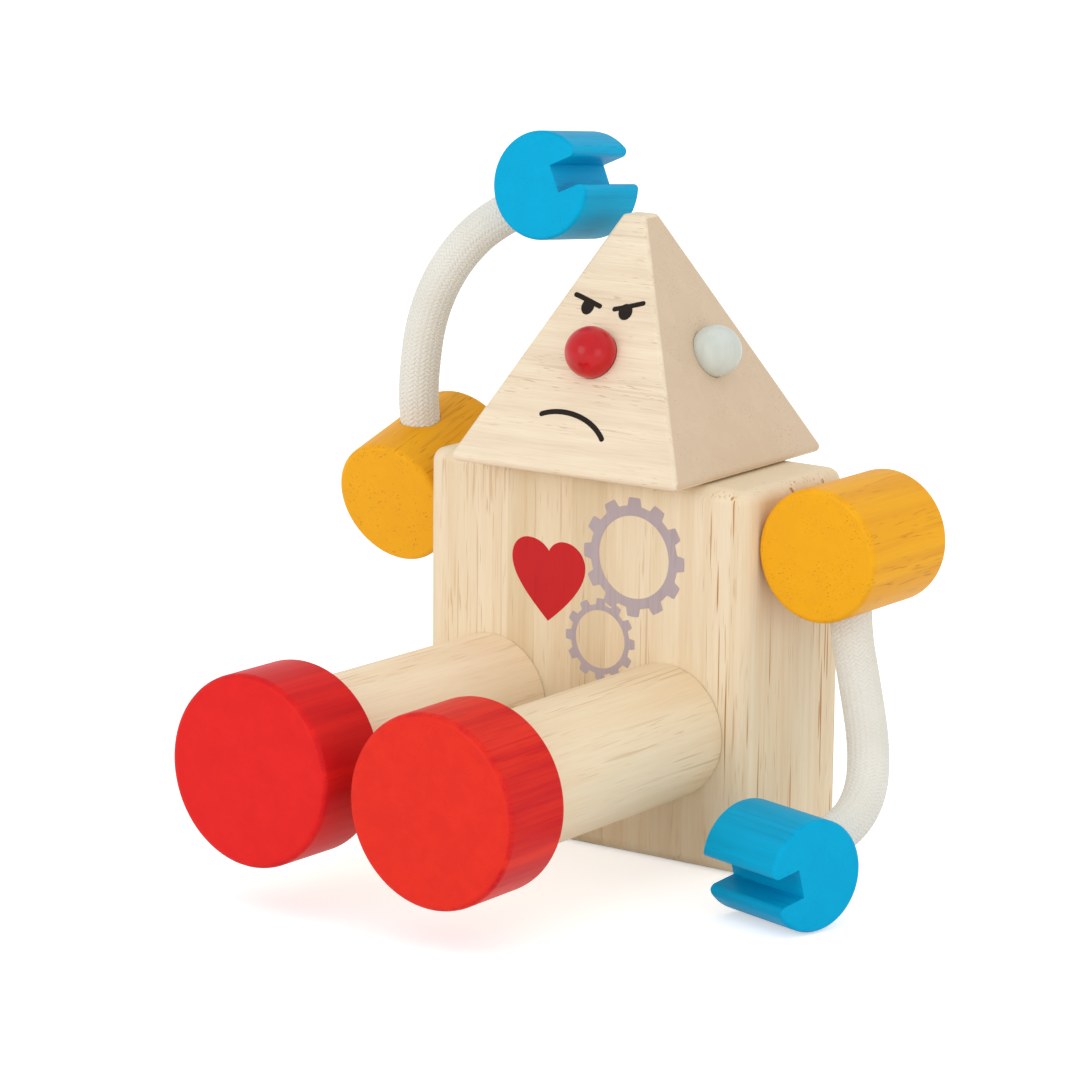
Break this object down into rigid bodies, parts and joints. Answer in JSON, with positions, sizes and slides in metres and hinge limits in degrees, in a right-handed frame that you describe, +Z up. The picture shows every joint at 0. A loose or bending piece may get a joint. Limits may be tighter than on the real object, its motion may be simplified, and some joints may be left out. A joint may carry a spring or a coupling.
{
  "type": "toy robot",
  "caption": "Sitting wooden robot figure: laminated block torso, turning pyramid head, straight legs with disc feet, rope arms on turning shoulders, grooved gripping hands.",
  "frame": {"origin": "centre of the torso's flat underside, which the robot sits on", "axes": "+Z up through the torso and the head, -Y the way the robot faces and its legs point, +X towards the arm that hangs down"},
  "size_m": [0.1439, 0.1258, 0.1465],
  "materials": {
    "natural_wood": "clear matt wood with open pores",
    "dowel_wood": "bare turned dowel",
    "red_stain": "red stain, satin, grain shows through",
    "yellow_stain": "yellow stain, satin, grain shows through",
    "blue_stain": "blue stain, satin, grain shows through",
    "red_lacquer": "red gloss lacquer on a wooden ball",
    "pale_lacquer": "pale mint lacquer on a wooden ball",
    "rope": "off-white braided cotton rope",
    "steel": "plain steel brads",
    "heart_print": "red printed heart",
    "gear_print": "mauve-grey printed gears",
    "face_print": "near-black printed face lines"
  },
  "bodies": {
    "torso": {"foot_dowel_left": "dowel_wood", "foot_dowel_right": "dowel_wood", "foot_left": "red_stain", "foot_right": "red_stain", "leg_dowel_left": "dowel_wood", "leg_dowel_right": "dowel_wood", "leg_left": "natural_wood", "leg_right": "natural_wood", "neck_peg": "dowel_wood", "torso_stave_1": "natural_wood", "torso_stave_2": "natural_wood", "torso_stave_3": "natural_wood", "torso_stave_4": "natural_wood", "torso_stave_5": "natural_wood", "torso_stave_6": "natural_wood"},
    "head": {"head_block": "natural_wood", "nose_ball": "red_lacquer", "ear_left": "pale_lacquer", "ear_right": "pale_lacquer"},
    "shoulder_left_body": {"shoulder_left": "yellow_stain", "shoulder_axle_left": "dowel_wood", "shoulder_brad_left": "steel", "rope_arm_left": "rope"},
    "hand_left_body": {"hand_left": "blue_stain", "hand_brad_left": "steel"},
    "shoulder_right_body": {"shoulder_right": "yellow_stain", "shoulder_axle_right": "dowel_wood", "shoulder_brad_right": "steel", "rope_arm_right": "rope"},
    "hand_right_body": {"hand_right": "blue_stain", "hand_brad_right": "steel"}
  },
  "joints": [
    {"name": "head_turn", "type": "hinge", "parent": "torso", "child": "head", "pos_m": [0.001, -0.0008, 0.08], "axis": [0, 0, 1], "continuous": true},
    {"name": "shoulder_turn_left", "type": "hinge", "parent": "torso", "child": "shoulder_left_body", "pos_m": [-0.05385, 0.0005, 0.0689], "axis": [1, 0, 0], "range_deg": [-140, 90]},
    {"name": "shoulder_turn_right", "type": "hinge", "parent": "torso", "child": "shoulder_right_body", "pos_m": [0.05385, -0.0005, 0.0679], "axis": [1, 0, 0], "continuous": true},
    {"name": "rope_bend_left", "type": "hinge", "parent": "shoulder_left_body", "child": "hand_left_body", "pos_m": [-0.05115, -0.0035, 0.1049], "axis": [0, 1, 0], "range_deg": [-40, 3], "deforming": ["rope_arm_left"]},
    {"name": "rope_bend_right", "type": "hinge", "parent": "shoulder_right_body", "child": "hand_right_body", "pos_m": [0.06185, -0.006, 0.0289], "axis": [1, 0, 0], "range_deg": [-45, 25], "deforming": ["rope_arm_right"]}
  ]
}
